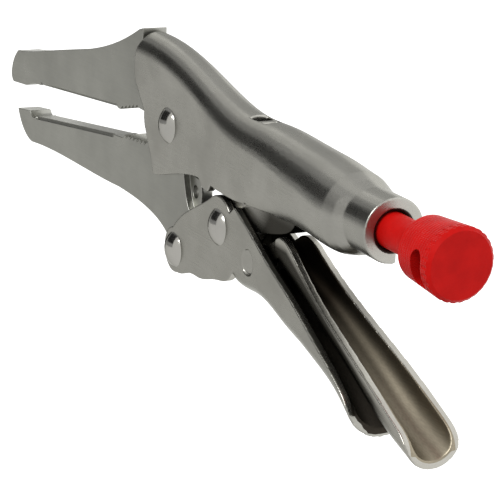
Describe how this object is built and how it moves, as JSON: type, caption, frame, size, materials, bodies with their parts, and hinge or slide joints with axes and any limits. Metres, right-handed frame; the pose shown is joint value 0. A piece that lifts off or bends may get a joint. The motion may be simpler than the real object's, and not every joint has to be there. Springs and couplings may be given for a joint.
{
  "type": "locking pliers",
  "caption": "Long-nosed locking pliers with a toggle linkage, a release lever in the lower handle and a red adjusting knob at the end of the upper handle.",
  "frame": {"origin": "middle of the underside of the whole tool, lying on its side on a table", "axes": "+X from the jaw tips to the adjusting knob, +Y towards the back of the upper handle, +Z across the tool, up when it lies on its side"},
  "size_m": [0.2422, 0.0654, 0.0179],
  "materials": {
    "plated_steel": "satin nickel plate on bent sheet steel",
    "jaw_steel": "satin nickel plate on forged and ground steel",
    "rivet_steel": "bright domed rivet heads",
    "link_steel": "satin nickel plate",
    "lever_steel": "satin nickel plate",
    "screw_steel": "cut thread, satin",
    "red_plastic": "moulded red plastic, satin",
    "spring_steel": "dark oiled spring wire"
  },
  "bodies": {
    "frame": {"upper_handle_shell": "plated_steel", "fixed_jaw": "jaw_steel", "jaw_pivot_rivet": "rivet_steel", "return_spring": "spring_steel"},
    "movable_jaw": {"movable_jaw": "jaw_steel"},
    "lower_handle": {"lower_handle": "plated_steel", "handle_pivot_rivet": "rivet_steel", "toggle_rivet": "rivet_steel"},
    "toggle_link": {"toggle_link": "link_steel"},
    "release_lever": {"release_lever": "lever_steel"},
    "adjusting_screw": {"adjusting_screw": "screw_steel"},
    "adjusting_knob": {"adjusting_knob": "red_plastic"}
  },
  "joints": [
    {"name": "handle_hinge", "type": "hinge", "parent": "movable_jaw", "child": "lower_handle", "pos_m": [0.001, -0.01757, 0.00897], "axis": [0, 0, 1], "range_deg": [-39.05, 0]},
    {"name": "jaw_hinge", "type": "hinge", "parent": "frame", "child": "movable_jaw", "pos_m": [-0.0048, 0.01243, 0.00897], "axis": [0, 0, 1], "range_deg": [0, 9.1], "deforming": ["return_spring"]},
    {"name": "link_hinge", "type": "hinge", "parent": "lower_handle", "child": "toggle_link", "pos_m": [0.025, -0.00537, 0.00897], "axis": [0, 0, 1], "range_deg": [0, 50.5]},
    {"name": "lever_hinge", "type": "hinge", "parent": "lower_handle", "child": "release_lever", "pos_m": [0.0412, -0.00947, 0.00897], "axis": [0, 0, 1], "range_deg": [-4, 0]},
    {"name": "screw_slide", "type": "slide", "parent": "frame", "child": "adjusting_screw", "axis": [1, 0, 0], "range_m": [0, 0.01]},
    {"name": "knob_turn", "type": "hinge", "parent": "adjusting_screw", "child": "adjusting_knob", "pos_m": [0.1052, 0.01223, 0.00897], "axis": [1, 0, 0], "range_deg": [0, 2880.5]}
  ],
  "couplings": [
    {"joint": "jaw_hinge", "follows": "handle_hinge", "ratio": -0.2317},
    {"joint": "link_hinge", "follows": "handle_hinge", "ratio": -1.291},
    {"joint": "knob_turn", "follows": "screw_slide", "rad_per_m": 5026.5}
  ]
}
